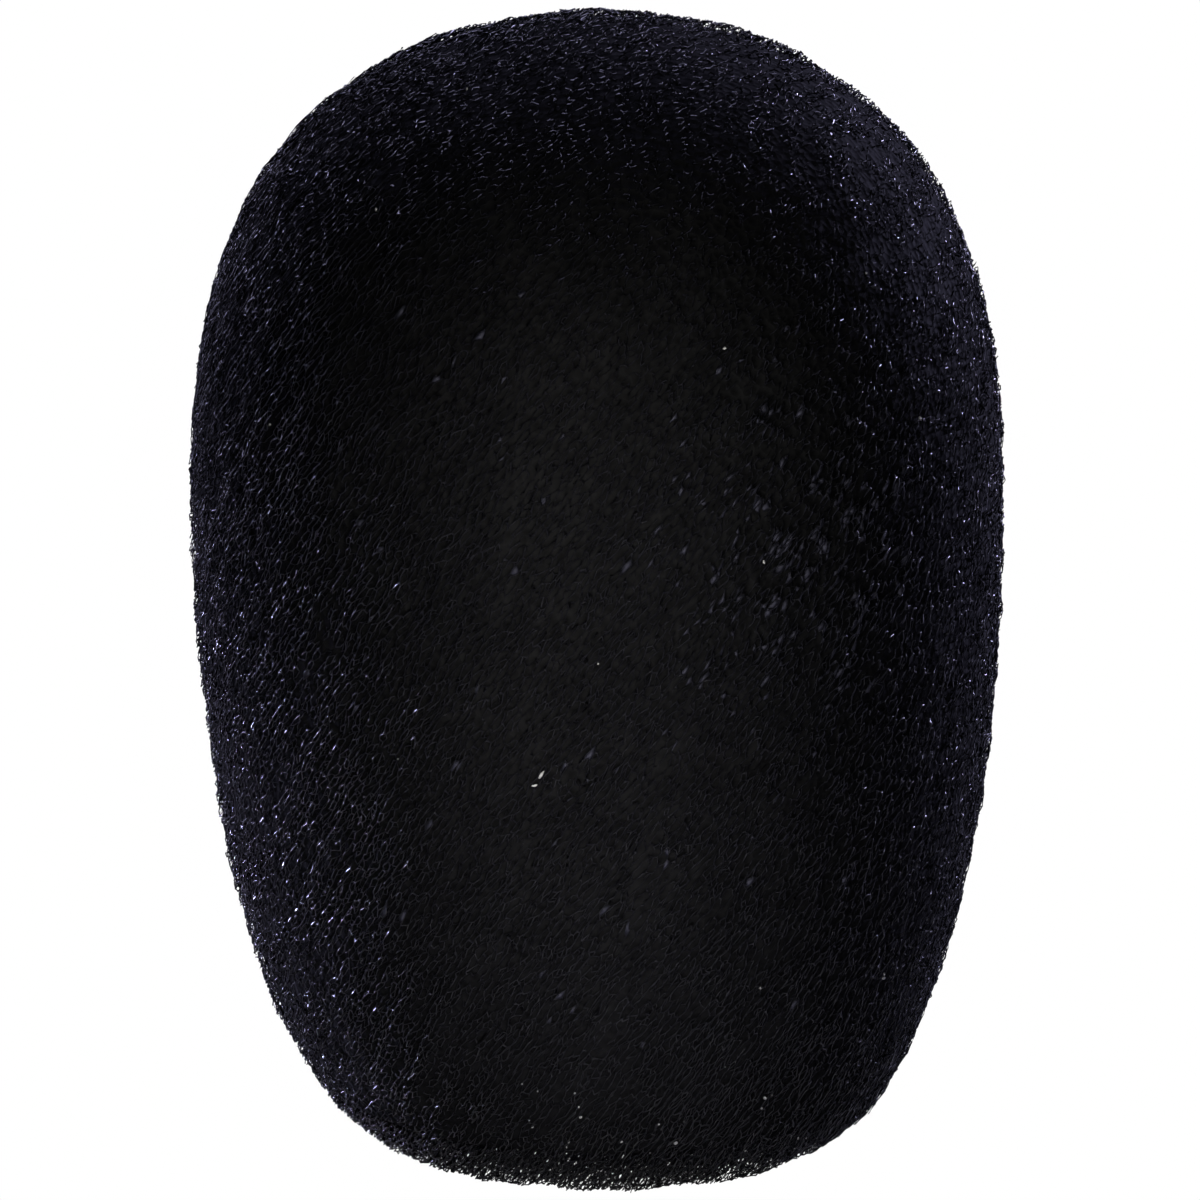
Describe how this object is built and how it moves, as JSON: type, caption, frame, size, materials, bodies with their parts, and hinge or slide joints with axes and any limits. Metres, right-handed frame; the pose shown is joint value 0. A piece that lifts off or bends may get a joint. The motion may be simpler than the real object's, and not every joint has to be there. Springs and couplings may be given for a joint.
{
  "type": "microphone windscreen",
  "caption": "Egg-shaped black open-cell foam windscreen that slips over a hand-held microphone and locks on by a plastic collar inside its mouth.",
  "frame": {"origin": "middle of the mouth, in the plane of the lip that the windscreen stands on", "axes": "+Z along the egg's axis, from the mouth to the crown; +X and +Y are any two square directions, the foam being round"},
  "size_m": [0.063, 0.063, 0.088],
  "materials": {
    "foam": "black open-cell polyurethane foam",
    "collar_plastic": "black moulded plastic, satin"
  },
  "bodies": {
    "root": {"foam_body": "foam", "locking_collar": "collar_plastic"}
  },
  "joints": []
}
